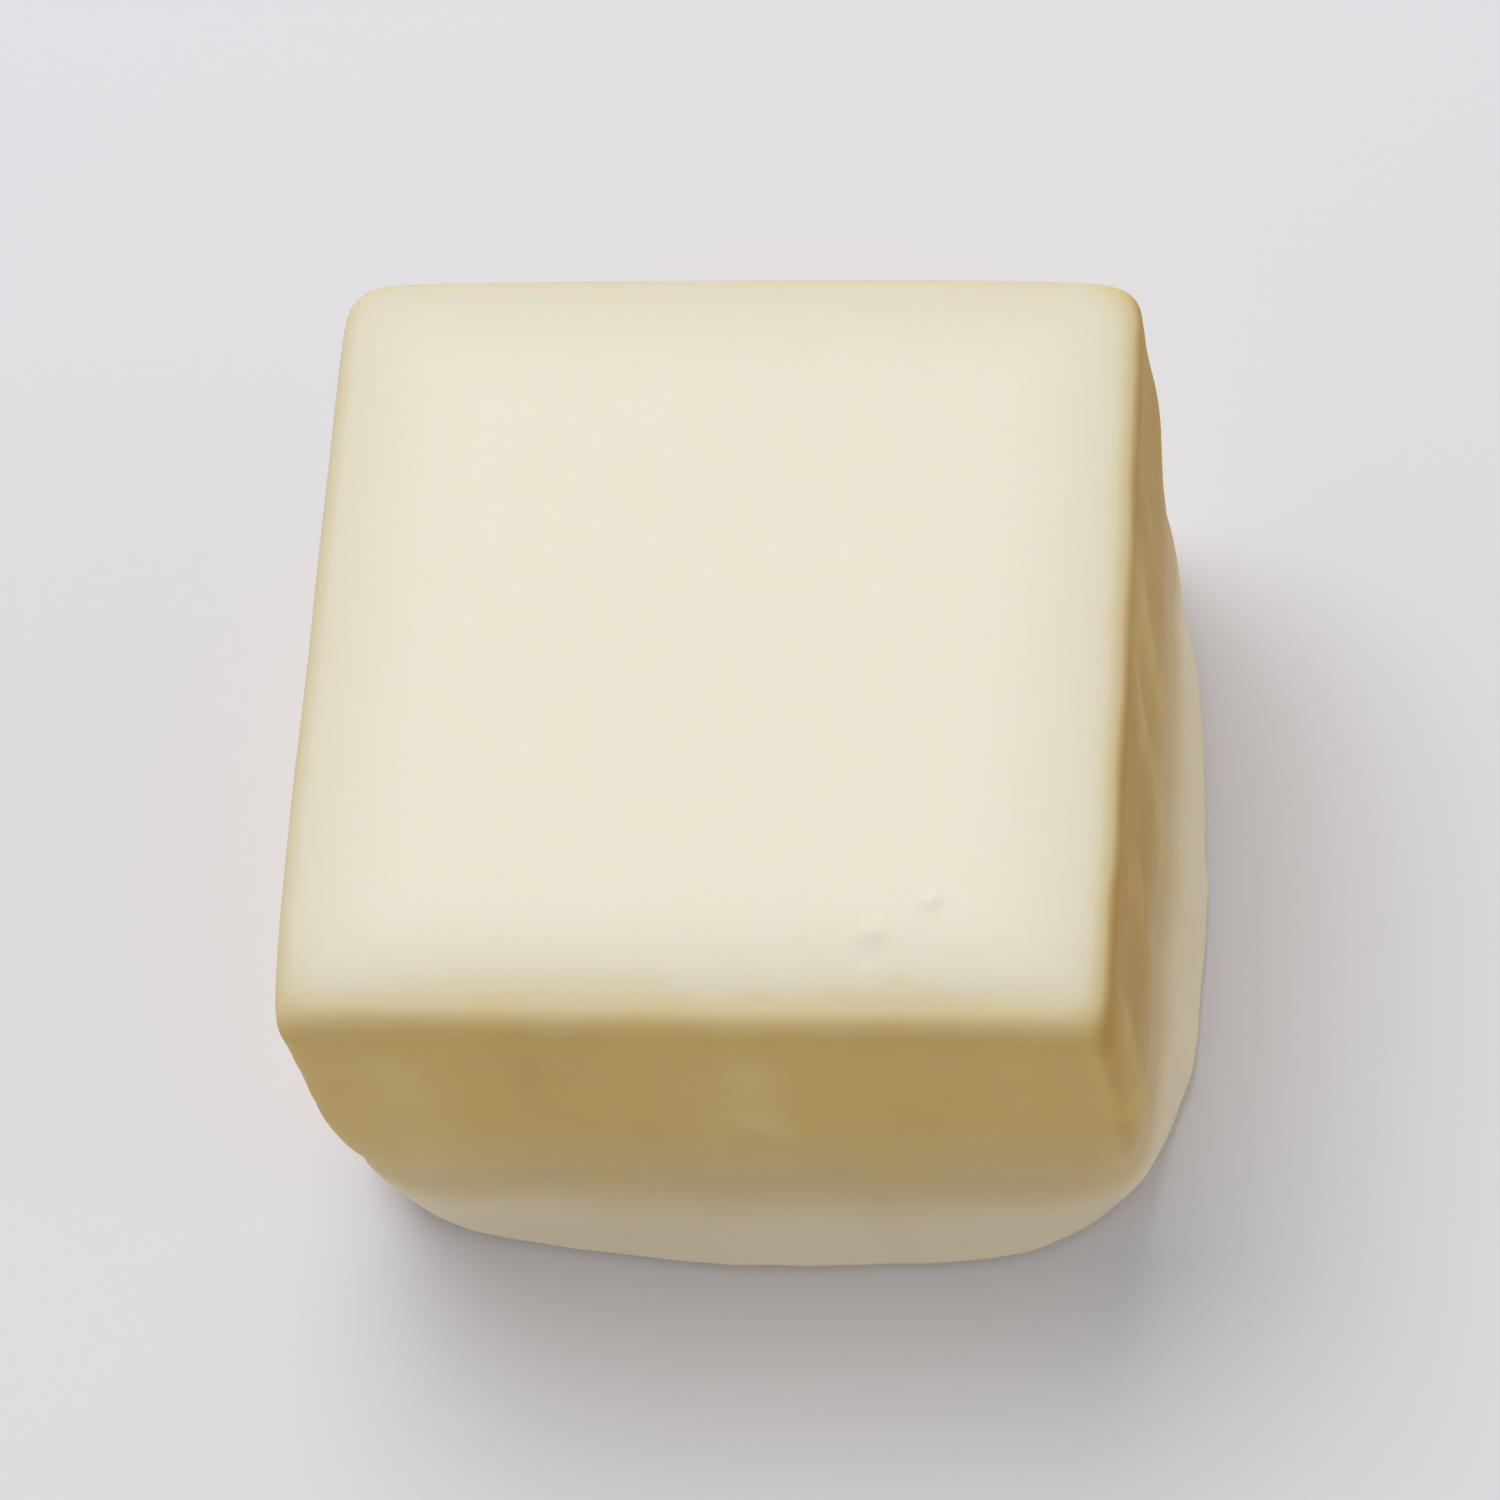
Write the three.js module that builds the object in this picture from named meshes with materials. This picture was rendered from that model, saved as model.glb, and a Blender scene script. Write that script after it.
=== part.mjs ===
// A square petit four: one piece of sponge cake under poured ivory icing.
// Millimetres, +Z up. The origin is the middle of the underside, and -Y is the front.
import * as THREE from "three";

// Driving sizes.
const WIDTH = 41.95; // across the side walls at the top, along X
const DEPTH = 42.1; // from the front wall to the back wall at the top, along Y
const HEIGHT = 28.6; // underside to the middle of the top
const BATTER = 0.15; // how much further out a wall is at its foot than at its top
const FOOT_REACH = 1.7; // how far the icing pools out past a wall at its foot, before the foot's waves
const FOOT_RISE = 10.5; // height at which a wall starts to spread into the foot
const CORNER_RISE = 17; // height at which a corner starts to give way to the rounder foot
const FOOT_WAVE = 0.15; // how much the outline of the foot wanders
const LIP = 1.1; // rounding where the foot turns under
const EDGE_IN = 1.1; // rounding of the top edge, measured along the top
const EDGE_DOWN = 1.2; // the same rounding, measured down the wall
const FRONT_EDGE_IN = 1.3; // the same two at the front, where the edge is fuller
const FRONT_EDGE_DOWN = 2.0;
const CROWN = 0.5; // fall of the top from its middle to the middle of an edge
const FRONT_ROLL = 0.65; // further fall of the top at the front edge
const ROLL_WIDTH = 6.5; // band along the front edge in which it falls
const WALL_BOW = 0.15; // how much fuller a wall is at its middle than at its corners
const LEFT_FLARE = 0.35; // how far the left wall leans out at the front corner

// Squareness of an outline: 2 is an ellipse, and a large number a sharp square.
const BACK_SQUARENESS = 22;
const FRONT_SQUARENESS = 36;
const FOOT_SQUARENESS = 4;

const CROWN_POWER = 8; // the top stays flat, and falls only near its edges
const FOOT_POWER = 3; // the foot runs out in a hollow curve
const CORNER_POWER = 1.5; // the corners give way more evenly
const CORNER_START = 0.6; // where a corner starts: 0 is the middle of a wall, and 1 the corner itself
const CORNER_END = 0.95;
const FRONT_POWER = 4; // how late along a side wall the edge turns into the fuller one at the front

// Waves in the foot's outline: how many lobes go round it, their height and their start.
const FOOT_WAVES = [
  { lobes: 1, height: 2.3, start: -2.39 },
  { lobes: 2, height: 2.7, start: 3.07 },
  { lobes: 3, height: 1.0, start: 0.7 },
  { lobes: 5, height: 0.8, start: 2.1 },
  { lobes: 9, height: 0.6, start: 4.0 },
];

// How finely the surface is faceted.
const STEPS_PER_SIDE = 24;
const CORNER_CROWDING = 0.75; // 0 spaces the steps evenly, nearer 1 crowds them at the corners
const LOW_CROWDING = 1.5; // 1 spaces the wall's rings evenly, more crowds them at the foot
const EDGE_CROWDING = 1.8; // 1 spaces the top's rings evenly, more crowds them at its edge
const LIP_RINGS = 3;
const WALL_RINGS = 12;
const EDGE_RINGS = 5;
const TOP_RINGS = 8;

const ICING_COLOUR = 0xeee7d4;
const ICING_ROUGHNESS = 0.5;

const SIDES = 4;
const STEPS = SIDES * STEPS_PER_SIDE;
const QUARTER = Math.PI / 2;

function mix(a, b, t) {
  return a + (b - a) * t;
}

function limit(share) {
  return Math.min(Math.max(share, 0), 1);
}

// The direction of one step round the outline, as a point on a square of half size 1.
function direction(step) {
  const side = Math.floor(step / STEPS_PER_SIDE);
  const even = (2 * (step - side * STEPS_PER_SIDE)) / STEPS_PER_SIDE - 1;
  const along = even + (CORNER_CROWDING * Math.sin(Math.PI * even)) / Math.PI;
  const turn = side * QUARTER;
  return {
    x: Math.cos(turn) - along * Math.sin(turn),
    y: Math.sin(turn) + along * Math.cos(turn),
  };
}

// Where an outline of the given half sizes and squareness lies in that direction.
function onOutline(toward, halfX, halfY, squareness) {
  const powers = Math.abs(toward.x) ** squareness + Math.abs(toward.y) ** squareness;
  const scale = powers ** (-1 / squareness);
  return { x: toward.x * scale * halfX, y: toward.y * scale * halfY };
}

// The walls bow out between the corners, widen slightly downwards, and flare at the front left corner.
function wallPoint(toward, depthShare) {
  const widening = BATTER * depthShare;
  const squareness = mix(BACK_SQUARENESS, FRONT_SQUARENESS, (1 - toward.y) / 2);
  const point = onOutline(toward, WIDTH / 2 + widening, DEPTH / 2 + widening, squareness);
  const flare = LEFT_FLARE * limit(-toward.x) * limit(-toward.y);
  return {
    x: point.x - WALL_BOW * toward.y ** 2 * toward.x - flare,
    y: point.y - WALL_BOW * toward.x ** 2 * toward.y,
  };
}

// The foot is rounder than the walls, and its outline wanders.
function footPoint(toward) {
  const angle = Math.atan2(toward.y, toward.x);
  let reach = BATTER + FOOT_REACH;
  for (const wave of FOOT_WAVES) {
    reach += FOOT_WAVE * wave.height * Math.sin(wave.lobes * angle + wave.start);
  }
  return onOutline(toward, WIDTH / 2 + reach, DEPTH / 2 + reach, FOOT_SQUARENESS);
}

// How far the wall has spread into the foot at a height. The corners start higher up.
function spreadAt(toward, height) {
  const atWall = limit((FOOT_RISE - height) / (FOOT_RISE - LIP)) ** FOOT_POWER;
  const atCorner = limit((CORNER_RISE - height) / (CORNER_RISE - LIP)) ** CORNER_POWER;
  const share = limit((Math.abs(toward.x * toward.y) - CORNER_START) / (CORNER_END - CORNER_START));
  return mix(atWall, atCorner, share * share * (3 - 2 * share));
}

// The top edge's rounding, along the top and down the wall.
function edgeSizes(toward) {
  const share = limit(-toward.y) ** FRONT_POWER;
  return { along: mix(EDGE_IN, FRONT_EDGE_IN, share), down: mix(EDGE_DOWN, FRONT_EDGE_DOWN, share) };
}

// Height of the top: it falls near all its edges, and most at the front.
function topHeight(x, y) {
  const crown = Math.abs((2 * x) / WIDTH) ** CROWN_POWER + Math.abs((2 * y) / DEPTH) ** CROWN_POWER;
  const intoRoll = limit((ROLL_WIDTH - DEPTH / 2 - y) / ROLL_WIDTH);
  return HEIGHT - CROWN * crown - FRONT_ROLL * intoRoll ** 2;
}

// A point of an outline moved in by a fixed distance.
function inset(point, distance) {
  return {
    x: point.x * (1 - distance / (WIDTH / 2)),
    y: point.y * (1 - distance / (DEPTH / 2)),
  };
}

// The lip that turns under the foot. Its first ring bounds the flat underside.
function lipRing(ring) {
  const turn = (QUARTER * ring) / LIP_RINGS;
  return (toward) => {
    const point = inset(footPoint(toward), LIP * (1 - Math.sin(turn)));
    return new THREE.Vector3(point.x, point.y, LIP * (1 - Math.cos(turn)));
  };
}

// The wall, from the top of the lip to the start of the rounded edge.
function wallRing(ring) {
  const climbed = (ring / WALL_RINGS) ** LOW_CROWDING;
  const plainHeight = mix(LIP, HEIGHT - EDGE_DOWN, climbed);
  return (toward) => {
    const spread = spreadAt(toward, plainHeight);
    const wall = wallPoint(toward, 1 - plainHeight / HEIGHT);
    const foot = footPoint(toward);
    const x = mix(wall.x, foot.x, spread);
    const y = mix(wall.y, foot.y, spread);
    return new THREE.Vector3(x, y, mix(LIP, topHeight(x, y) - edgeSizes(toward).down, climbed));
  };
}

// The rounded edge between the wall and the top, which hangs from the crowned top.
function edgeRing(ring) {
  const turn = (QUARTER * ring) / EDGE_RINGS;
  return (toward) => {
    const edge = edgeSizes(toward);
    const { x, y } = inset(wallPoint(toward, 0), edge.along * (1 - Math.cos(turn)));
    return new THREE.Vector3(x, y, topHeight(x, y) - edge.down * (1 - Math.sin(turn)));
  };
}

// The top, in rings that shrink toward its middle, closer together near the edge.
function topRing(ring) {
  const share = 1 - (ring / (TOP_RINGS + 1)) ** EDGE_CROWDING;
  return (toward) => {
    const rim = inset(wallPoint(toward, 0), edgeSizes(toward).along);
    const x = rim.x * share;
    const y = rim.y * share;
    return new THREE.Vector3(x, y, topHeight(x, y));
  };
}

function rings() {
  const list = [];
  for (let ring = 0; ring <= LIP_RINGS; ring += 1) list.push(lipRing(ring));
  for (let ring = 1; ring <= WALL_RINGS; ring += 1) list.push(wallRing(ring));
  for (let ring = 1; ring <= EDGE_RINGS; ring += 1) list.push(edgeRing(ring));
  for (let ring = 1; ring <= TOP_RINGS; ring += 1) list.push(topRing(ring));
  return list;
}

// One closed skin: every ring joined to the next, and a fan at each end.
function cakeGeometry() {
  const positions = [];
  const faces = [];
  const allRings = rings();
  for (const pointAt of allRings) {
    for (let step = 0; step < STEPS; step += 1) {
      positions.push(...pointAt(direction(step)).toArray());
    }
  }
  const underside = positions.length / 3;
  const crest = underside + 1;
  positions.push(0, 0, 0);
  positions.push(0, 0, HEIGHT);
  const last = (allRings.length - 1) * STEPS;
  for (let step = 0; step < STEPS; step += 1) {
    const next = (step + 1) % STEPS;
    faces.push(underside, next, step);
    for (let low = 0; low < last; low += STEPS) {
      const high = low + STEPS;
      faces.push(low + step, low + next, high + next);
      faces.push(low + step, high + next, high + step);
    }
    faces.push(crest, last + step, last + next);
  }
  const geometry = new THREE.BufferGeometry();
  geometry.setAttribute("position", new THREE.Float32BufferAttribute(positions, 3));
  geometry.setIndex(faces);
  geometry.computeVertexNormals();
  return geometry;
}

// The origin is put in the middle of the cake's box, which the foot's outline shifts a little.
function centred(geometry) {
  geometry.computeBoundingBox();
  const { min, max } = geometry.boundingBox;
  return geometry.translate(-(min.x + max.x) / 2, -(min.y + max.y) / 2, -min.z);
}

const icing = new THREE.MeshStandardMaterial({
  color: ICING_COLOUR,
  roughness: ICING_ROUGHNESS,
  metalness: 0,
});

const icedCake = new THREE.Mesh(centred(cakeGeometry()), icing);
icedCake.name = "iced_cake";

const petitFour = new THREE.Group();
petitFour.add(icedCake);

export default petitFour;
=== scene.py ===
"""A square petit four under poured ivory icing, dressed around its CAD frame.

The cake's geometry tree works in millimetres. The finished mesh, its material and the rest of
the scene are in metres, with +Z up and -Y the front.
"""

import math

import bpy
from mathutils import Matrix, Vector


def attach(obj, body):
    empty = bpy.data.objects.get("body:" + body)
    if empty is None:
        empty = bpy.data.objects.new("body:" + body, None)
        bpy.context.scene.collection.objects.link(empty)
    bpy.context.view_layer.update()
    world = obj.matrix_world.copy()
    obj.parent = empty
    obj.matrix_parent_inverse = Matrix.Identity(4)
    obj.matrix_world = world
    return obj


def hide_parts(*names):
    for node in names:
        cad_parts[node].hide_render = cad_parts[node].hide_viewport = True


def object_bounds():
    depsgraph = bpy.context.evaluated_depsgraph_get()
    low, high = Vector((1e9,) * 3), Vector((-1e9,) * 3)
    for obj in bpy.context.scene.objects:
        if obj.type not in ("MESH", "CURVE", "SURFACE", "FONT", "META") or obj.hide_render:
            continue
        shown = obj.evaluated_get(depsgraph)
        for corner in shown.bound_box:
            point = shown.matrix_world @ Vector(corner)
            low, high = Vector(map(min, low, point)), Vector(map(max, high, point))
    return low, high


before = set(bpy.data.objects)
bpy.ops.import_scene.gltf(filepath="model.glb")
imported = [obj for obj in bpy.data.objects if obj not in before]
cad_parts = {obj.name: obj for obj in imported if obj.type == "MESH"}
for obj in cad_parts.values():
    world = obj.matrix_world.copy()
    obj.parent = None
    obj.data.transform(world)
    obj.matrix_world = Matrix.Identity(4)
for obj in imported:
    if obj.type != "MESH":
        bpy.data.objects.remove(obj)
cad_low, cad_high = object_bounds()

MM = 0.001

# Sizes of the cake in millimetres. The height is the frame's own, and the rest are the solid's.
CAKE = {
    "Width": 41.95,  # across the side walls at the top, along X
    "Depth": 42.1,  # from the front wall to the back wall at the top, along Y
    "Height": (cad_high.z - cad_low.z) / MM,
    "Batter": 0.15,  # how much further out a wall is at its foot than at its top
    "Foot Reach": 1.7,  # how far the icing pools out past a wall, before the foot's waves
    "Foot Rise": 10.5,  # height at which a wall starts to spread into the foot
    "Corner Rise": 17.0,  # height at which a corner starts to give way to the rounder foot
    "Foot Wave": 0.15,  # how much the outline of the foot wanders
    "Lip": 1.1,  # rounding where the foot turns under
    "Edge In": 1.1,  # rounding of the top edge, measured along the top
    "Edge Down": 1.2,  # the same rounding, measured down the wall
    "Front Edge In": 1.3,  # the same two at the front, where the edge is fuller
    "Front Edge Down": 2.0,
    "Crown": 0.5,  # fall of the top from its middle to the middle of an edge
    "Front Roll": 0.65,  # further fall of the top at the front edge
    "Roll Width": 6.5,  # band along the front edge in which it falls
    "Wall Bow": 0.15,  # how much fuller a wall is at its middle than at its corners
    "Left Flare": 0.35,  # how far the left wall leans out at the front corner
    "Back Squareness": 22.0,  # 2 is an ellipse, and a large number a sharp square
    "Front Squareness": 36.0,
    "Foot Squareness": 4.0,
}

# Unevenness of the poured icing, in millimetres.
RELIEF = {
    "Top Swell": 0.08,  # broad swells of the top
    "Wall Swell": 0.30,  # the same on the walls
    "Crumbs": 0.05,  # the sponge's crumb under the thin icing
    "Runs": 0.52,  # upright runs down the walls
    "Drips": 0.26,  # single drips, each with a thicker end
    "Foot Lumps": 0.35,  # lumps where the walls spread into the foot
    "Crease": 0.10,  # depth of the hollow just above the pooled icing
    "Pool Depth": 0.22,  # how far the pooled icing stands out at the foot
    "Pool Height": 6.4,  # height of its upper edge
    "Pool Wander": 3.0,  # how far that edge wanders up and down
    "Pale Middle": 9.0,  # height at which a wall has turned halfway to the foot's colour
    "Pale Reach": 8.5,  # how far above and below that the change reaches
}

# Small marks in the top, in millimetres: place along X and Y, radius, and height.
# A mark with a height of less than 0 is a dent.
MARKS = (
    (5.9, 5.2, 1.0, -0.10),
    (-9.4, 9.8, 1.8, -0.05),
    (4.2, 16.4, 1.4, -0.05),
    (11.8, -14.1, 0.65, 0.25),
    (9.0, -15.7, 1.0, 0.15),
    (8.8, -17.0, 0.9, -0.06),
    (-1.4, -8.3, 0.7, 0.05),
)


class Value:
    """A number or vector in a node tree. Arithmetic on it adds the nodes that work it out."""

    def __init__(self, graph, socket):
        self.graph = graph
        self.socket = socket

    def __add__(self, other):
        return self.graph.math("ADD", self, other)

    def __sub__(self, other):
        return self.graph.math("SUBTRACT", self, other)

    def __mul__(self, other):
        return self.graph.math("MULTIPLY", self, other)

    def __truediv__(self, other):
        return self.graph.math("DIVIDE", self, other)

    def __pow__(self, other):
        return self.graph.math("POWER", self, other)

    def __radd__(self, other):
        return self.graph.math("ADD", other, self)

    def __rsub__(self, other):
        return self.graph.math("SUBTRACT", other, self)

    def __rmul__(self, other):
        return self.graph.math("MULTIPLY", other, self)

    def __rtruediv__(self, other):
        return self.graph.math("DIVIDE", other, self)

    def __neg__(self):
        return self.graph.math("MULTIPLY", self, -1.0)

    def __abs__(self):
        return self.graph.math("ABSOLUTE", self)


class Graph:
    """A node tree that is written as sums. It serves geometry trees and materials alike."""

    def __init__(self, tree):
        self.tree = tree

    def node(self, kind, inputs=None, **settings):
        """A new node with its settings, and with its inputs fed by name or number."""
        made = self.tree.nodes.new(kind)
        for name, setting in settings.items():
            setattr(made, name, setting)
        for name, value in (inputs or {}).items():
            self.feed(made.inputs[name], value)
        return made

    def feed(self, socket, value):
        """Links a value into a socket, or sets a plain number or colour on it."""
        if isinstance(value, Value):
            self.tree.links.new(value.socket, socket)
        elif isinstance(value, bpy.types.NodeSocket):
            self.tree.links.new(value, socket)
        else:
            socket.default_value = value

    def out(self, made, name=0):
        return Value(self, made.outputs[name])

    def math(self, operation, *values):
        made = self.node("ShaderNodeMath", operation=operation)
        for socket, value in zip(made.inputs, values):
            self.feed(socket, value)
        return self.out(made)

    def limit(self, value):
        """The value kept from 0 to 1."""
        return self.out(self.node("ShaderNodeClamp", {"Value": value}))

    def smooth(self, start, end, value):
        """0 at start and 1 at end, with a soft step between them."""
        sockets = {"Value": value, "From Min": start, "From Max": end}
        return self.out(self.node("ShaderNodeMapRange", sockets, interpolation_type="SMOOTHSTEP"))

    def band(self, start, peak, end, value):
        """A soft ridge that rises from start to peak and is gone at end."""
        return self.smooth(start, peak, value) * self.smooth(end, peak, value)

    def mix(self, a, b, share):
        return a + (b - a) * share

    def blend(self, a, b, share):
        """A blend of two colours."""
        made = self.node("ShaderNodeMix", data_type="RGBA")
        for name, value in (("Factor", share), ("A", a), ("B", b)):
            socket = next(s for s in made.inputs if s.name == name and s.enabled)
            self.feed(socket, value)
        return Value(self, next(s for s in made.outputs if s.enabled))

    def join(self, x, y, z):
        return self.out(self.node("ShaderNodeCombineXYZ", {"X": x, "Y": y, "Z": z}))

    def split(self, vector):
        made = self.node("ShaderNodeSeparateXYZ", {"Vector": vector})
        return tuple(self.out(made, axis) for axis in "XYZ")

    def keep(self, geometry, name, value):
        """The geometry with a value stored on its points."""
        sockets = {"Geometry": geometry, "Name": name, "Value": value}
        return self.out(self.node("GeometryNodeStoreNamedAttribute", sockets, data_type="FLOAT"))

    def kept(self, name):
        """A value that was stored on the points."""
        sockets = {"Name": name}
        return self.out(self.node("GeometryNodeInputNamedAttribute", sockets, data_type="FLOAT"))

    def noise(self, vector, width, detail=2.0, roughness=0.5):
        """Soft noise about 0, mostly between -1 and 1, with swells about a width apart."""
        sockets = {"Vector": vector, "Scale": 1 / width, "Detail": detail, "Roughness": roughness}
        made = self.node("ShaderNodeTexNoise", sockets, noise_dimensions="3D")
        return (self.out(made, "Fac") - 0.5) * 2.0

    def finish(self, geometry, material):
        """Ends a geometry tree with a smooth mesh of its own in the given material."""
        geometry = self.out(self.node("GeometryNodeRealizeInstances", {"Geometry": geometry}))
        geometry = self.out(self.node("GeometryNodeSetShadeSmooth", {"Geometry": geometry}))
        sockets = {"Geometry": geometry, "Material": material}
        geometry = self.out(self.node("GeometryNodeSetMaterial", sockets))
        self.node("NodeGroupOutput", {"Geometry": geometry})


# ---------------------------------------------------------------- the plain form

STEPS_ALONG = 144  # vertices along a side of the cake
STEPS_UP = 76  # vertices up a wall
CROWDING = 0.45  # 0 spaces them evenly, nearer 1 crowds them at the edges
EDGE_BAND = 1.6  # strip of the top, and of the wall, that becomes the rounded edge
LIP_BAND = 1.2  # the same for the lip under the foot
ON_FACE = 0.9999  # the cube's top is above this height, and its underside is as far down
LEAST_SHARE = 1e-5  # keeps a direction from being divided by 0 in the middle of a face
QUARTER = math.pi / 2

CROWN_POWER = 8.0  # the top stays flat, and falls only near its edges
FOOT_POWER = 3.0  # the foot runs out in a hollow curve
CORNER_POWER = 1.5  # the corners give way to the rounder foot more evenly
CORNER_START = 0.6  # where a corner starts: 0 is the middle of a wall, and 1 the corner itself
CORNER_END = 0.95
FRONT_POWER = 4.0  # how late along a side wall the edge turns into the fuller one at the front
ROLL_ON_TOP = 0.7  # share of the front roll's fall that doesn't count as being down a wall

# Waves in the foot's outline: how many lobes go round it, their height as a multiple of the
# size "Foot Wave", and their start.
FOOT_WAVES = ((1, 2.3, -2.39), (2, 2.7, 3.07), (3, 1.0, 0.7), (5, 0.8, 2.1), (9, 0.6, 4.0))


def crowded(graph, place):
    """A place from -1 to 1, moved towards the nearer end."""
    return place + graph.math("SINE", place * math.pi) * (CROWDING / math.pi)


def on_outline(graph, toward, half_x, half_y, squareness):
    """Where an outline of the given half sizes and squareness lies in a direction."""
    powers = abs(toward[0]) ** squareness + abs(toward[1]) ** squareness
    scale = graph.math("MAXIMUM", powers, 1.0) ** (-1.0 / squareness)
    return toward[0] * scale * half_x, toward[1] * scale * half_y


def wall_point(graph, size, toward, depth_share):
    """The walls bow out between the corners and widen downwards. The front left corner flares."""
    half_x = size["Width"] / 2 + size["Batter"] * depth_share
    half_y = size["Depth"] / 2 + size["Batter"] * depth_share
    to_front = (1.0 - toward[1]) / 2
    squareness = graph.mix(size["Back Squareness"], size["Front Squareness"], to_front)
    x, y = on_outline(graph, toward, half_x, half_y, squareness)
    bow_x = size["Wall Bow"] * toward[1] * toward[1] * toward[0]
    bow_y = size["Wall Bow"] * toward[0] * toward[0] * toward[1]
    flare = size["Left Flare"] * graph.limit(-toward[0]) * graph.limit(-toward[1])
    return x - bow_x - flare, y - bow_y


def foot_point(graph, size, toward):
    """The foot is rounder than the walls, and its outline wanders."""
    angle = graph.math("ARCTAN2", toward[1], toward[0])
    reach = size["Batter"] + size["Foot Reach"]
    for lobes, height, start in FOOT_WAVES:
        reach = reach + size["Foot Wave"] * height * graph.math("SINE", angle * lobes + start)
    half_x = size["Width"] / 2 + reach
    half_y = size["Depth"] / 2 + reach
    return on_outline(graph, toward, half_x, half_y, size["Foot Squareness"])


def crown_fall(size, x, y):
    """How far the top falls towards all its edges."""
    share_x = abs(x / (size["Width"] / 2))
    share_y = abs(y / (size["Depth"] / 2))
    return size["Crown"] * (share_x ** CROWN_POWER + share_y ** CROWN_POWER)


def front_fall(graph, size, y):
    """How far the top rolls down towards the front."""
    into_roll = graph.limit((size["Roll Width"] - size["Depth"] / 2 - y) / size["Roll Width"])
    return size["Front Roll"] * into_roll * into_roll


def plain_form(graph, size):
    """Where each vertex of a cube of half size 1 goes, and what the later steps need of it."""
    raw_x, raw_y, raw_z = graph.split(graph.out(graph.node("GeometryNodeInputPosition")))
    cube_x, cube_y, cube_z = (crowded(graph, raw) for raw in (raw_x, raw_y, raw_z))

    # The larger of X and Y, less its sign, is a vertex's share of the way out to a wall.
    share = graph.math("MAXIMUM", graph.math("MAXIMUM", abs(cube_x), abs(cube_y)), LEAST_SHARE)
    toward = (cube_x / share, cube_y / share)
    on_top = graph.math("GREATER_THAN", raw_z, ON_FACE)
    on_underside = graph.math("LESS_THAN", raw_z, -ON_FACE)
    from_wall = (1.0 - share) * size["Width"] / 2
    up = (cube_z + 1.0) * size["Height"] / 2
    down = size["Height"] - up

    # Angles: 0 on the wall, and a quarter turn on the flat of the top or of the underside.
    along_top = graph.limit(from_wall / EDGE_BAND) * on_top
    along_underside = graph.limit(from_wall / LIP_BAND) * on_underside
    edge_angle = (graph.limit(1.0 - down / EDGE_BAND) + along_top) / 2 * QUARTER
    lip_angle = (graph.limit(1.0 - up / LIP_BAND) + along_underside) / 2 * QUARTER
    flat_share = graph.limit(share / (1.0 - EDGE_BAND / (size["Width"] / 2)))
    under_share = graph.limit(share / (1.0 - LIP_BAND / (size["Width"] / 2)))
    flat_share = graph.mix(1.0, flat_share, on_top)
    under_share = graph.mix(1.0, under_share, on_underside)

    # Plan: the wall widens into the foot, and is drawn in at its rounded edge and at its lip.
    wall_x, wall_y = wall_point(graph, size, toward, graph.limit(down / size["Height"]))
    foot_x, foot_y = foot_point(graph, size, toward)
    climbed = graph.limit((up - LIP_BAND) / (size["Height"] - LIP_BAND - EDGE_BAND))
    plain_height = graph.mix(size["Lip"], size["Height"] - size["Edge Down"], climbed)
    corner = graph.smooth(CORNER_START, CORNER_END, abs(toward[0] * toward[1]))
    at_side, at_corner = (
        graph.limit((size[rise] - plain_height) / (size[rise] - size["Lip"])) ** power
        for rise, power in (("Foot Rise", FOOT_POWER), ("Corner Rise", CORNER_POWER))
    )
    spread = graph.mix(at_side, at_corner, corner)
    at_front = graph.limit(-toward[1]) ** FRONT_POWER
    edge_in = graph.mix(size["Edge In"], size["Front Edge In"], at_front)
    edge_down = graph.mix(size["Edge Down"], size["Front Edge Down"], at_front)
    drawn_in = edge_in * (1.0 - graph.math("COSINE", edge_angle))
    drawn_in = drawn_in + size["Lip"] * (1.0 - graph.math("COSINE", lip_angle))
    narrowed_x = 1.0 - drawn_in / (size["Width"] / 2)
    narrowed_y = 1.0 - drawn_in / (size["Depth"] / 2)
    x = graph.mix(wall_x, foot_x, spread) * narrowed_x * flat_share * under_share
    y = graph.mix(wall_y, foot_y, spread) * narrowed_y * flat_share * under_share

    # Height: the rounded edge hangs from the crowned top. The wall stretches from it to the lip.
    rolled = front_fall(graph, size, y)
    rim_height = size["Height"] - crown_fall(size, x, y) - rolled - edge_down
    height = graph.mix(size["Lip"], rim_height, climbed)
    height = height + edge_down * graph.math("SINE", edge_angle)
    height = height - size["Lip"] * graph.math("SINE", lip_angle)

    # Past the rim counts down the wall from the top's edge, and is less than 0 on the top.
    inside_rim = (1.0 - flat_share * under_share * narrowed_x) * size["Width"] / 2
    past_rim = rim_height + edge_down - height - inside_rim
    worked_out = {
        "sunk": size["Height"] - height - rolled * ROLL_ON_TOP,
        "past_rim": past_rim,
        "edge_share": over_edge_share(graph, toward, past_rim),
        "spread": spread,
        "corner": corner,
    }
    return graph.join(x, y, height), worked_out


# ---------------------------------------------------------------- the poured icing

# Where the turn from ivory to the walls' painted shade starts and ends, in millimetres past the
# rim.
EDGE_TURN_ELSEWHERE = (-1.6, 2.2)
EDGE_TURN_RIGHT = (-1.9, 0.9)
EDGE_TURN_FRONT = (-3.95, 1.1)
EDGE_TURN_RIGHT_POWER = 8.0  # how late towards the right wall its own turn takes over
EDGE_TURN_FRONT_POWER = 16.0  # the same for the front
EDGE_TURN_CORNER_POWER = 8.0  # how late towards a front corner the front's turn gives way
EDGE_TURN_CORNER_LOSS = 0.4  # share of it that is lost there

# How the unevenness is laid out. Widths, heights and distances are in millimetres.
WALL_START = 0.9  # how far below the top the unevenness of the walls sets in
WALL_FULL = 5.0  # how far below the top it is full
FLOOR_START = 0.2  # height up to which there is none, so that the underside stays flat
FLOOR_FULL = 1.6  # height from which it is full
SWELL_WIDTH = 13.0
CRUMB_WIDTH = 2.8

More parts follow.
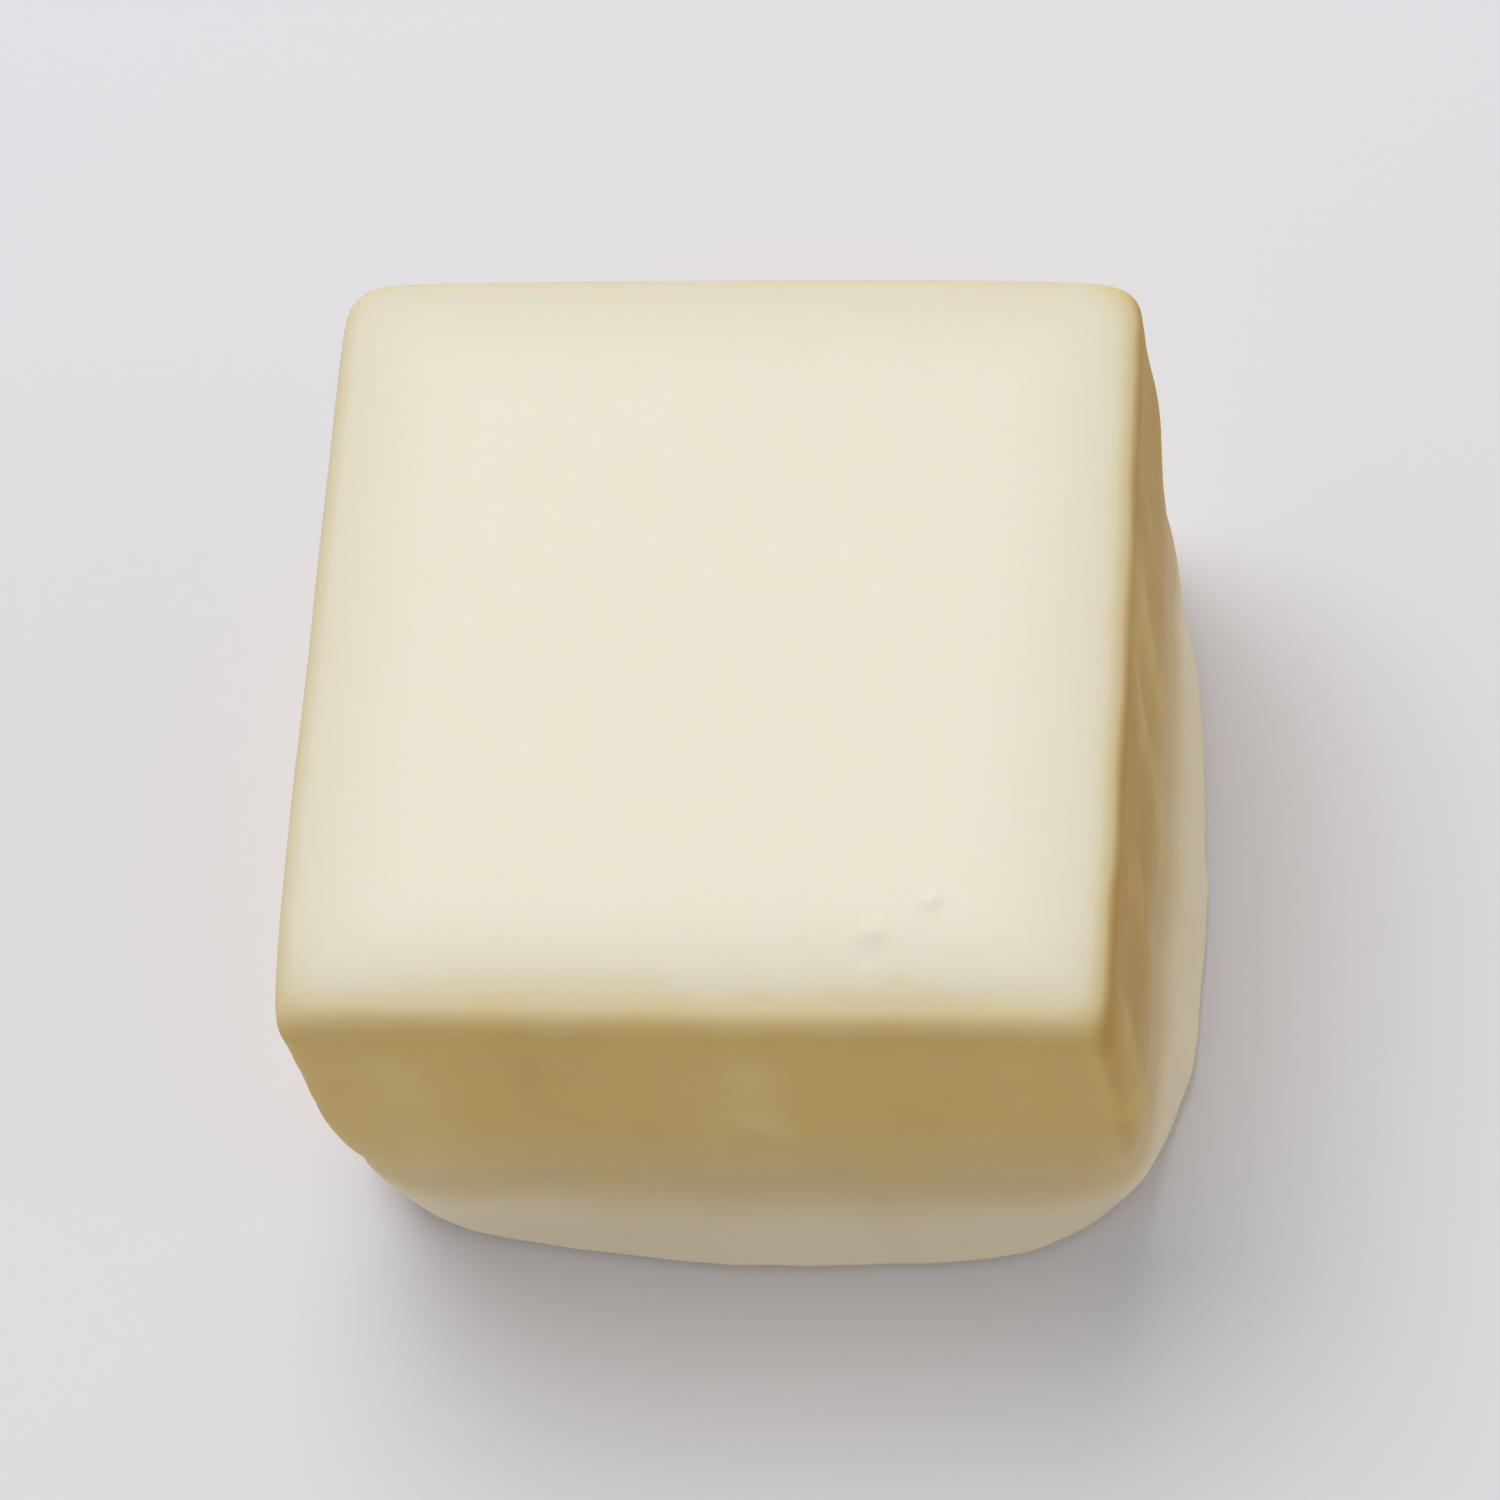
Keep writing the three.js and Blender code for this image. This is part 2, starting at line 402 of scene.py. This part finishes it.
RUN_WIDTH = 6.5
RUN_DRAWN_OUT = 0.08  # up a wall a run changes at this share of its rate along the wall
RUN_ROUGHNESS = 0.35
RUNS_ON_WALLS = 0.7  # share of their depth at a corner that the runs have between corners

DRIP_WIDTH = 5.5
DRIP_NONE = -0.10  # noise at which there is no drip
DRIP_WHOLE = 0.45  # noise at which there is a whole one
DRIP_END = 13.0  # height at which a drip ends
DRIP_END_WANDER = 12.0  # how far above or below that a drip may end
DRIP_END_WIDTH = 9.0
DRIP_END_LEVEL = 40.0  # place in the noise, well away from where the drips themselves are
DRIP_TIP = 2.2  # how far below its end a drip fades out
DRIP_BODY = 1.4  # how far above its end it is whole
BULB_PEAK = 1.0  # how far above a drip's end its bulb is thickest
BULB_TOP = 6.0  # how far above the end the bulb is gone
BULB_SHARE = 0.4  # share of a drip's thickness that is in its bulb

LUMP_WIDTH = 4.2
LUMP_DRAWN_OUT = 0.5
POOL_WAVE_WIDTH = 11.0
POOL_SHOULDER = 2.0  # how far above its edge the pooled icing sets in
POOL_SWELL = 2.4  # how far below its edge it is full
POOL_FLOOR_START = 0.8  # height up to which it stays in line with the lip
POOL_FLOOR_FULL = 4.0  # height from which it is full
CREASE_PEAK = 1.6  # how far above the pool's edge the crease is deepest
CREASE_TOP = 4.0  # how far above it the crease is gone


def over_edge_share(graph, toward, past_rim):
    """How far a point has turned over the edge towards the walls' painted shade: 0 where the turn
    starts, and 1 where it is full.
    """
    right = graph.limit(toward[0]) ** EDGE_TURN_RIGHT_POWER
    remaining = 1.0 - EDGE_TURN_CORNER_LOSS * abs(toward[0]) ** EDGE_TURN_CORNER_POWER
    front = graph.limit(-toward[1]) ** EDGE_TURN_FRONT_POWER * remaining
    start, end = (
        graph.mix(graph.mix(elsewhere, at_right, right), at_front, front)
        for elsewhere, at_right, at_front in zip(EDGE_TURN_ELSEWHERE, EDGE_TURN_RIGHT, EDGE_TURN_FRONT)
    )
    return (past_rim - start) / (end - start)


def runs_and_drips(graph, size, x, y, z, corner):
    """How much thicker the icing is where it has run down a wall."""
    drawn_out = graph.join(x, y, z * RUN_DRAWN_OUT)
    runs = graph.noise(drawn_out, RUN_WIDTH, detail=1.0, roughness=RUN_ROUGHNESS) * size["Runs"]
    runs = runs * graph.mix(RUNS_ON_WALLS, 1.0, corner)
    end_level = graph.join(x, y, DRIP_END_LEVEL)
    drip_end = DRIP_END + DRIP_END_WANDER * graph.noise(end_level, DRIP_END_WIDTH, detail=0.0)
    drip_noise = graph.noise(graph.join(x, y, 0.0), DRIP_WIDTH, detail=0.0)
    drip = graph.smooth(DRIP_NONE, DRIP_WHOLE, drip_noise)
    body = graph.smooth(drip_end - DRIP_TIP, drip_end + DRIP_BODY, z)
    bulb = graph.band(drip_end - DRIP_TIP, drip_end + BULB_PEAK, drip_end + BULB_TOP, z)
    return runs + drip * (body * (1.0 - BULB_SHARE) + bulb * BULB_SHARE) * size["Drips"]


def marked(graph, x, y):
    """How far the small marks stand out of the top."""
    total = 0.0
    for mark_x, mark_y, radius, height in MARKS:
        away_x = x - mark_x
        away_y = y - mark_y
        away = graph.math("SQRT", away_x * away_x + away_y * away_y)
        total = total + graph.smooth(radius, 0.0, away) * height
    return total


def poured(graph, size, place, sunk, corner, spread):
    """What pouring leaves on the plain form.

    Gives how far the icing stands out, how thick its runs are, and how far its colour has
    turned to the foot's.
    """
    x, y, z = graph.split(place)
    on_wall = graph.smooth(WALL_START, WALL_FULL, sunk)
    above_floor = graph.smooth(FLOOR_START, FLOOR_FULL, z)

    swell_depth = graph.mix(size["Top Swell"], size["Wall Swell"], on_wall)
    swell = graph.noise(place, SWELL_WIDTH, detail=1.0) * swell_depth
    crumbs = graph.noise(place, CRUMB_WIDTH, detail=1.0) * size["Crumbs"]
    thick = runs_and_drips(graph, size, x, y, z, corner)

    lump_noise = graph.noise(graph.join(x, y, z * LUMP_DRAWN_OUT), LUMP_WIDTH, detail=1.0)
    lumps = lump_noise * size["Foot Lumps"] * spread
    wander = size["Pool Wander"] * graph.noise(graph.join(x, y, 0.0), POOL_WAVE_WIDTH)
    pool_top = size["Pool Height"] + wander
    below_edge = graph.smooth(pool_top + POOL_SHOULDER, pool_top - POOL_SWELL, z)
    pool = below_edge * graph.smooth(POOL_FLOOR_START, POOL_FLOOR_FULL, z) * size["Pool Depth"]
    crease = graph.band(pool_top, pool_top + CREASE_PEAK, pool_top + CREASE_TOP, z)
    crease = crease * size["Crease"]
    # Below this height the walls' painted shade gives way to the foot's paler colour.
    pale_middle = size["Pale Middle"] + wander
    paled = graph.smooth(pale_middle + size["Pale Reach"], pale_middle - size["Pale Reach"], z)

    on_walls = (thick + crumbs - crease) * on_wall
    stands_out = swell + on_walls + pool + lumps + marked(graph, x, y) * (1.0 - on_wall)
    return stands_out * above_floor, thick * on_wall, paled


def cake_tree():
    """The whole cake: a finely divided cube, shaped and then covered in poured icing."""
    tree = bpy.data.node_groups.new("poured cake", "GeometryNodeTree")
    for name in (*CAKE, *RELIEF):
        tree.interface.new_socket(name, in_out="INPUT", socket_type="NodeSocketFloat")
    tree.interface.new_socket("Icing", in_out="INPUT", socket_type="NodeSocketMaterial")
    tree.interface.new_socket("Geometry", in_out="OUTPUT", socket_type="NodeSocketGeometry")
    graph = Graph(tree)
    given = graph.node("NodeGroupInput")
    size = {name: graph.out(given, name) for name in (*CAKE, *RELIEF)}

    counts = {"Vertices X": STEPS_ALONG, "Vertices Y": STEPS_ALONG, "Vertices Z": STEPS_UP}
    cube = graph.node("GeometryNodeMeshCube", {"Size": (2.0, 2.0, 2.0), **counts})
    stage = graph.out(cube, "Mesh")
    shaped, worked_out = plain_form(graph, size)
    for name, value in worked_out.items():
        stage = graph.keep(stage, name, value)
    sockets = {"Geometry": stage, "Position": shaped}
    stage = graph.out(graph.node("GeometryNodeSetPosition", sockets))

    # The unevenness lies along the surface's own normal.
    place = graph.out(graph.node("GeometryNodeInputPosition"))
    kept = [graph.kept(name) for name in ("sunk", "corner", "spread")]
    stands_out, thick, paled = poured(graph, size, place, *kept)
    stage = graph.keep(stage, "thick", thick)
    stage = graph.keep(stage, "paled", paled)
    normal = graph.out(graph.node("GeometryNodeInputNormal"))
    sockets = {0: normal, "Scale": stands_out}
    push = graph.out(graph.node("ShaderNodeVectorMath", sockets, operation="SCALE"))
    sockets = {"Geometry": stage, "Offset": push}
    stage = graph.out(graph.node("GeometryNodeSetPosition", sockets))
    sockets = {"Geometry": stage, "Scale": (MM, MM, MM)}
    stage = graph.out(graph.node("GeometryNodeTransform", sockets))
    graph.finish(stage, given.outputs["Icing"])
    return tree


def grown(name, tree, values):
    """The plain mesh that a geometry tree makes with the given inputs, as an object of its own."""
    seed = bpy.data.objects.new(name + "_seed", bpy.data.meshes.new(name + "_seed"))
    bpy.context.scene.collection.objects.link(seed)
    modifier = seed.modifiers.new("form", "NODES")
    modifier.node_group = tree
    for item in tree.interface.items_tree:
        if item.in_out == "INPUT" and item.name in values:
            modifier[item.identifier] = values[item.name]
    depsgraph = bpy.context.evaluated_depsgraph_get()
    shaped = seed.evaluated_get(depsgraph)
    mesh = bpy.data.meshes.new_from_object(
        shaped, preserve_all_data_layers=True, depsgraph=depsgraph
    )
    bpy.data.objects.remove(seed)
    mesh.name = name
    piece = bpy.data.objects.new(name, mesh)
    bpy.context.scene.collection.objects.link(piece)
    return piece


def centred_on_frame(piece):
    """Moves the mesh so that its box has the middle and the floor of the CAD box."""
    corners = [vertex.co for vertex in piece.data.vertices]
    low = Vector(min(c[axis] for c in corners) for axis in range(3))
    high = Vector(max(c[axis] for c in corners) for axis in range(3))
    shift = (cad_low + cad_high) / 2 - (low + high) / 2
    shift.z = cad_low.z - low.z
    piece.data.transform(Matrix.Translation(shift))


# ---------------------------------------------------------------- materials

def linear(red, green, blue):
    """A display colour from 0 to 255 as linear light."""
    def one(part):
        part /= 255
        return part / 12.92 if part <= 0.04045 else ((part + 0.055) / 1.055) ** 2.4
    return one(red), one(green), one(blue)


# The top, where the icing is thick: the two tones of its mottle, and at the rim a darker, warmer
# tone, which is painted shade where the top rounds over.
IVORY = linear(241, 235, 216)
IVORY_WARM = linear(240, 233, 212)
IVORY_RIM_SHADE = linear(226, 220, 196)

# The rounded edge, and then the walls, from the thickest runs to the deepest tone. This tan is
# mostly painted shade and warm bounce light; only a faint yellowing is the icing's own.
EDGE_SHADE = linear(226, 206, 155)
PALE_RUN_SHADE = linear(228, 204, 140)
WALL_SHADE = linear(221, 188, 112)
DEEP_WALL_SHADE = linear(189, 151, 76)

# The foot, low down and further up, where it is darker: painted shade near the wall.
FOOT_PALE = linear(247, 231, 198)
FOOT_SHADED = linear(224, 202, 160)

MOTTLE_WIDTH = 2.6 * MM
RIM_SHADE_START = 8.0  # millimetres inside the rim at which the top starts to take the rim's painted shade
RIM_SHADE_WIDTH = 7.6  # millimetres over which it does so
RIM_SHADE_POWER = 1.5  # how late over that width most of the change comes
EDGE_TURN_WANDER = 0.12  # how much the turn over the edge comes and goes along it
EDGE_TURN_WANDER_WIDTH = 4.0 * MM
EDGE_SHADE_AT = 0.65  # share of the turn over the edge at which the colour is the rounded edge's painted shade alone

# The tone of a wall's painted shade: 0 is the deepest, 1 the thickest run, and the walls lie
# between.
WALL_SHADE_TONE = 0.48
RIGHT_WALL_MORE_SHADE = 0.42  # how much deeper the right wall's painted shade is
RIGHT_SHADE_START = 19.5 * MM  # how far right of the middle its painted shade starts to deepen
RIGHT_SHADE_FULL = 20.8 * MM  # how far right it has deepened fully
TONE_OF_RUNS = 0.6  # how much a millimetre of thickness adds to the tone
TONE_OF_PATCHES = 0.22
TONE_OF_MOTTLE = 0.08
PATCH_WIDTH = 6.0 * MM
PATCH_DRAWN_OUT = 0.3  # up a wall a patch changes at this share of its rate along the wall
FOOT_SHADED_HEIGHT = 9.0 * MM
FOOT_PALE_HEIGHT = 2.5 * MM

TOP_ROUGHNESS = 0.48
WALL_ROUGHNESS = 0.68
MOTTLE_ROUGHNESS = 0.05  # how much the mottle changes the roughness
SPECULAR = 0.3
SCATTER = 0.4  # share of the light that soaks into the icing before it comes out again
SCATTER_RADIUS = (1.0, 0.75, 0.45)
SCATTER_DEPTH = 1.2 * MM
GRAIN_WIDTH = 0.9 * MM
GRAIN_HEIGHT = 0.02 * MM
GRAIN_STRENGTH = 0.5

FLOOR_COLOUR = linear(230, 229, 233)
FLOOR_ROUGHNESS = 0.7


def new_material(name):
    material = bpy.data.materials.new(name)
    material.use_nodes = True
    material.node_tree.nodes.clear()
    return material, Graph(material.node_tree)


def opaque(colour):
    return (*colour, 1.0)


def coloured(graph, stops, share):
    """A blend of colours, from (place, colour) stops."""
    ramp = graph.node("ShaderNodeValToRGB", {"Fac": share})
    ramp.color_ramp.interpolation = "EASE"
    while len(ramp.color_ramp.elements) < len(stops):
        ramp.color_ramp.elements.new(0.5)
    for element, (place, colour) in zip(ramp.color_ramp.elements, stops):
        element.position = place
        element.color = opaque(colour)
    return graph.out(ramp)


def attribute(graph, name):
    """A value that the cake's tree stored on the mesh."""
    return graph.out(graph.node("ShaderNodeAttribute", attribute_name=name), "Fac")


def icing_colour(graph, place, over_edge, mottle):
    """Ivory where the icing is thick on the top, tan over the edge and down the walls, and pale at
    the foot. The tan is mostly painted shade; only a faint yellowing is the icing's own.
    """
    x, y, z = graph.split(place)
    mottled = coloured(graph, ((0.0, IVORY_WARM), (1.0, IVORY)), graph.limit(mottle + 0.5))
    # Painted shade darkens the top towards its rim.
    into_rim_shade = (attribute(graph, "past_rim") + RIM_SHADE_START) / RIM_SHADE_WIDTH
    rim_shade = graph.limit(into_rim_shade) ** RIM_SHADE_POWER
    top = graph.blend(mottled, opaque(IVORY_RIM_SHADE), rim_shade)

    patches = graph.noise(graph.join(x, y, z * PATCH_DRAWN_OUT), PATCH_WIDTH, detail=1.0)
    uneven = attribute(graph, "thick") * TONE_OF_RUNS
    uneven = uneven + patches * TONE_OF_PATCHES + mottle * TONE_OF_MOTTLE
    # The right wall is painted in deeper shade than the others.
    right_shade = graph.smooth(RIGHT_SHADE_START, RIGHT_SHADE_FULL, x)
    tone = graph.limit(WALL_SHADE_TONE - right_shade * RIGHT_WALL_MORE_SHADE + uneven)
    # The walls' tan is painted shade, lighter along thick runs and in patches.
    wall = coloured(graph, ((0.0, DEEP_WALL_SHADE), (0.5, WALL_SHADE), (1.0, PALE_RUN_SHADE)), tone)

    # The foot is darker higher up, nearer the wall: painted shade.
    low_down = graph.smooth(FOOT_SHADED_HEIGHT, FOOT_PALE_HEIGHT, z)
    foot = coloured(graph, ((0.0, FOOT_SHADED), (1.0, FOOT_PALE)), low_down)
    # Low on a wall its painted shade gives way to the foot's paler colour.
    side = graph.blend(wall, foot, attribute(graph, "paled"))

    # Over the edge the ivory turns to the edge's painted shade, and then to the walls'.
    edge = graph.blend(top, opaque(EDGE_SHADE), graph.limit(over_edge / EDGE_SHADE_AT))
    return graph.blend(edge, side, graph.limit((over_edge - EDGE_SHADE_AT) / (1.0 - EDGE_SHADE_AT)))


def icing_material():
    """Poured icing, which light soaks into. It is duller over the edge and down the walls, with a
    fine grain.
    """
    material, graph = new_material("ivory icing")
    place = graph.out(graph.node("ShaderNodeTexCoord"), "Object")
    wander = graph.noise(place, EDGE_TURN_WANDER_WIDTH)
    mottle = graph.noise(place, MOTTLE_WIDTH, detail=3.0)
    # How far over the edge: it brings in the painted shade of the edge and walls, and the duller
    # finish.
    over_edge = graph.smooth(0.0, 1.0, attribute(graph, "edge_share") + wander * EDGE_TURN_WANDER)
    roughness = graph.mix(TOP_ROUGHNESS, WALL_ROUGHNESS, over_edge) + mottle * MOTTLE_ROUGHNESS
    grain = graph.noise(place, GRAIN_WIDTH)
    sockets = {"Height": grain, "Distance": GRAIN_HEIGHT, "Strength": GRAIN_STRENGTH}
    bump = graph.node("ShaderNodeBump", sockets)

    shader = graph.node("ShaderNodeBsdfPrincipled")
    graph.feed(shader.inputs["Base Color"], icing_colour(graph, place, over_edge, mottle))
    graph.feed(shader.inputs["Roughness"], roughness)
    graph.feed(shader.inputs["Normal"], bump.outputs["Normal"])
    shader.inputs["Specular IOR Level"].default_value = SPECULAR
    shader.inputs["Subsurface Weight"].default_value = SCATTER
    shader.inputs["Subsurface Radius"].default_value = SCATTER_RADIUS
    shader.inputs["Subsurface Scale"].default_value = SCATTER_DEPTH
    graph.node("ShaderNodeOutputMaterial", {"Surface": shader.outputs["BSDF"]})
    return material


def floor_material():
    material, graph = new_material("pale floor")
    shader = graph.node("ShaderNodeBsdfPrincipled")
    shader.inputs["Base Color"].default_value = opaque(FLOOR_COLOUR)
    shader.inputs["Roughness"].default_value = FLOOR_ROUGHNESS
    graph.node("ShaderNodeOutputMaterial", {"Surface": shader.outputs["BSDF"]})
    return material


# ---------------------------------------------------------------- scene

FLOOR_HALF = 4.0  # metres from the middle of the floor to its edges

LENS = 165  # millimetres
SENSOR = 36  # millimetres
CLIP_START = 0.01
CAMERA_AIM = (0.06, 0.55)  # millimetres from the middle of the cake to where the camera looks
CAMERA_PLACE = (49.9, -144.3, 309.9)  # millimetres from there, at the top's height, to the camera
CAMERA_UP = (0.0075, 0.9141, 0.4054)  # the direction that is upwards in its view
CAMERA_TURN = 0.85  # degrees by which the camera is turned about the cake

# The lamps: name, place in metres, width in metres, power in watts, and colour.
LAMPS = (
    ("ceiling", (-0.27, 0.49, 1.11), 1.0, 9.25, (1.0, 0.99, 0.97)),
    ("right fill", (1.60, -0.30, 0.75), 1.2, 2.15, (1.0, 0.96, 0.88)),
)
SURROUNDINGS = (0.93, 0.95, 1.0)
SURROUNDINGS_STRENGTH = 0.45


def add_floor():
    half = FLOOR_HALF
    mesh = bpy.data.meshes.new("floor")
    corners = [(-half, -half, 0), (half, -half, 0), (half, half, 0), (-half, half, 0)]
    mesh.from_pydata(corners, [], [(0, 1, 2, 3)])
    mesh.materials.append(floor_material())
    floor = bpy.data.objects.new("floor", mesh)
    bpy.context.scene.collection.objects.link(floor)


def aimed(thing, place, target, up):
    """Puts a camera or lamp at a place, looking at the target."""
    back = (place - target).normalized()
    right = up.cross(back).normalized()
    turn = Matrix((right, back.cross(right), back)).transposed()
    thing.matrix_world = Matrix.Translation(place) @ turn.to_4x4()


def add_camera():
    data = bpy.data.cameras.new("camera")
    data.lens = LENS
    data.sensor_width = SENSOR
    data.clip_start = CLIP_START
    camera = bpy.data.objects.new("camera", data)
    bpy.context.scene.collection.objects.link(camera)
    aim = Vector((*CAMERA_AIM, 0)) * MM
    top = aim + Vector((0, 0, cad_high.z))
    middle = aim + Vector((0, 0, cad_high.z / 2))
    turn = Matrix.Rotation(math.radians(CAMERA_TURN), 3, "Z")
    place = top + turn @ Vector(CAMERA_PLACE) * MM
    aimed(camera, place, middle, turn @ Vector(CAMERA_UP))
    bpy.context.scene.camera = camera


def add_lamp(name, place, size, power, colour):
    data = bpy.data.lights.new(name, "AREA")
    data.shape = "DISK"
    data.size = size
    data.energy = power
    data.color = colour
    lamp = bpy.data.objects.new(name, data)
    lamp.visible_camera = False
    bpy.context.scene.collection.objects.link(lamp)
    aimed(lamp, Vector(place), Vector((0, 0, cad_high.z / 2)), Vector((0, 1, 0)))


def add_light():
    for lamp in LAMPS:
        add_lamp(*lamp)
    world = bpy.data.worlds.new("studio")
    world.use_nodes = True
    background = world.node_tree.nodes["Background"]
    background.inputs["Color"].default_value = opaque(SURROUNDINGS)
    background.inputs["Strength"].default_value = SURROUNDINGS_STRENGTH
    bpy.context.scene.world = world
    bpy.context.scene.view_settings.view_transform = "Standard"


icing = icing_material()
cake = grown("petit_four", cake_tree(), {**CAKE, **RELIEF, "Icing": icing})
centred_on_frame(cake)
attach(cake, "root")
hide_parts("iced_cake")

add_floor()
add_camera()
add_light()
